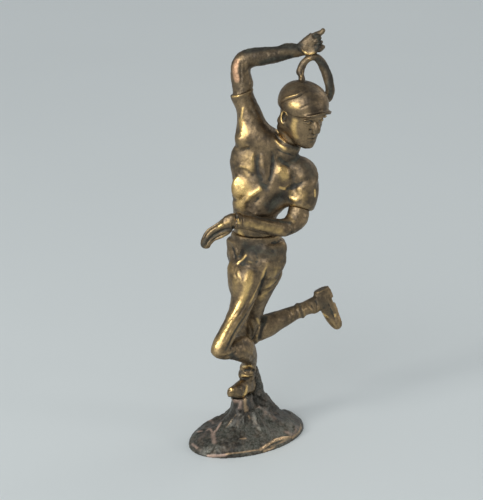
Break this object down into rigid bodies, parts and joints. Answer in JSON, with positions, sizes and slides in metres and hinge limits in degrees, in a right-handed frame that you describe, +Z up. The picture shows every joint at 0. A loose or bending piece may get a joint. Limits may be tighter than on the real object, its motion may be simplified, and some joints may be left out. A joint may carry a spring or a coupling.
{
  "type": "bowling trophy figure",
  "caption": "Cast brass figure of a bowler in a cap on one leg, one arm bent over the head, on a small rock mound with a tapped hole in its flat underside.",
  "frame": {"origin": "mouth of the tapped hole in the flat underside of the rock mound", "axes": "+Z up from the underside; the figure's chest faces -Y and its raised arm bends towards +X"},
  "size_m": [0.0658, 0.0489, 0.1746],
  "materials": {
    "brass_figure": "aged cast brass, worn bright on the high places",
    "brass_dark": "aged cast brass with a dark brown patina",
    "brass_base": "cast brass with a near-black patina",
    "brass_pin": "plain drawn brass"
  },
  "bodies": {
    "root": {"base_mound": "brass_base", "standing_boot": "brass_figure", "standing_stocking": "brass_figure", "trousers": "brass_figure", "trailing_trouser_leg": "brass_figure", "trailing_stocking": "brass_figure", "trailing_boot": "brass_figure", "waistband": "brass_figure", "shirt": "brass_figure", "lowered_sleeve": "brass_figure", "collar": "brass_figure", "head": "brass_figure", "cap_crown": "brass_figure", "cap_peak": "brass_figure", "raised_forearm": "brass_dark", "raised_hand": "brass_dark", "lowered_forearm": "brass_figure", "cuff": "brass_figure", "lowered_hand": "brass_dark", "support_loop": "brass_dark", "section_dowels": "brass_pin"}
  },
  "joints": []
}
